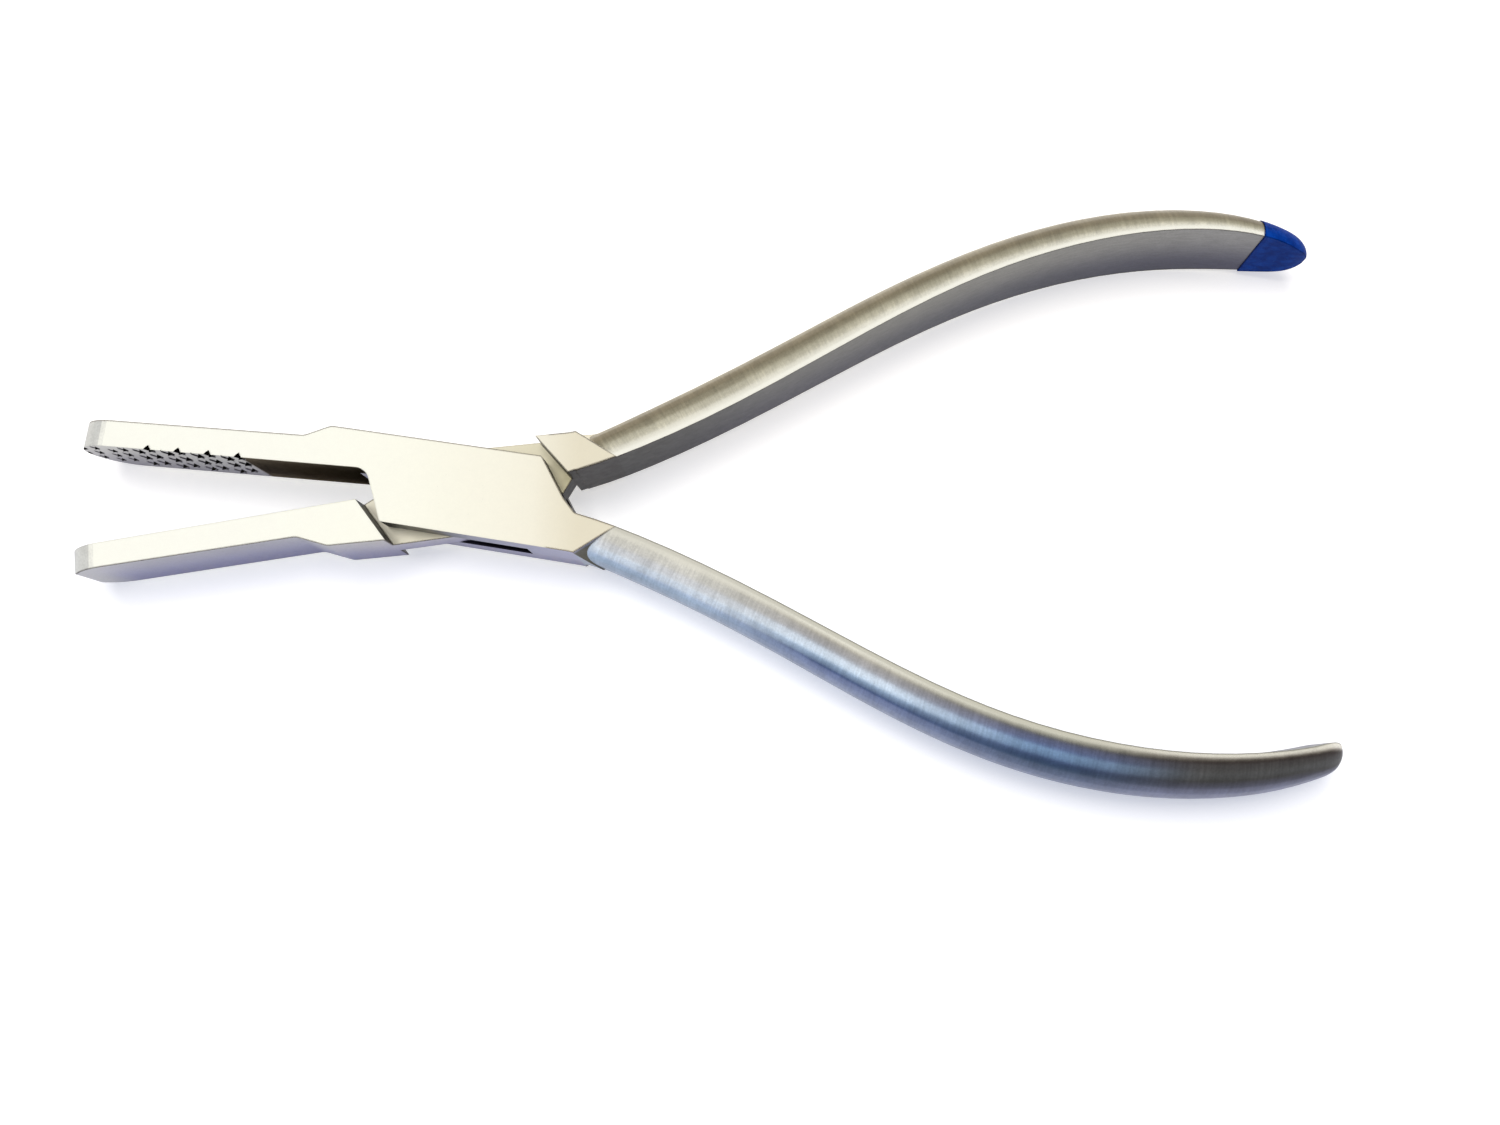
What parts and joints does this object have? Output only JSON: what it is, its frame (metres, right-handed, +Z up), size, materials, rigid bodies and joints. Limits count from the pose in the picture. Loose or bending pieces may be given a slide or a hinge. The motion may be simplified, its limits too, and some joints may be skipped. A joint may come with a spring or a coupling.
{
  "type": "nail extraction forceps",
  "caption": "Hand forceps with long slim cross-cut jaws, a flat box joint and bowed handles, one with a colour-coded end, for gripping and pulling out a nail.",
  "frame": {"origin": "on the joint pin's axis, in the plane of the joint's lower flat", "axes": "+X from the joint along the handles, midway between them as they lie; +Z up along the pin; the jaws point to -X"},
  "size_m": [0.1376, 0.065, 0.0118],
  "materials": {
    "satin_steel": "satin ground stainless steel",
    "blue_coat": "smooth blue dipped coat"
  },
  "bodies": {
    "box_side": {"box_half": "satin_steel", "joint_pin": "satin_steel"},
    "tongue_side": {"tongue_half": "satin_steel", "blue_end_coat": "blue_coat"}
  },
  "joints": [
    {"name": "jaw_hinge", "type": "hinge", "parent": "box_side", "child": "tongue_side", "pos_m": [0, 0, 0.0045], "axis": [0, 0, 1], "range_deg": [-15.2, 44.7]}
  ]
}
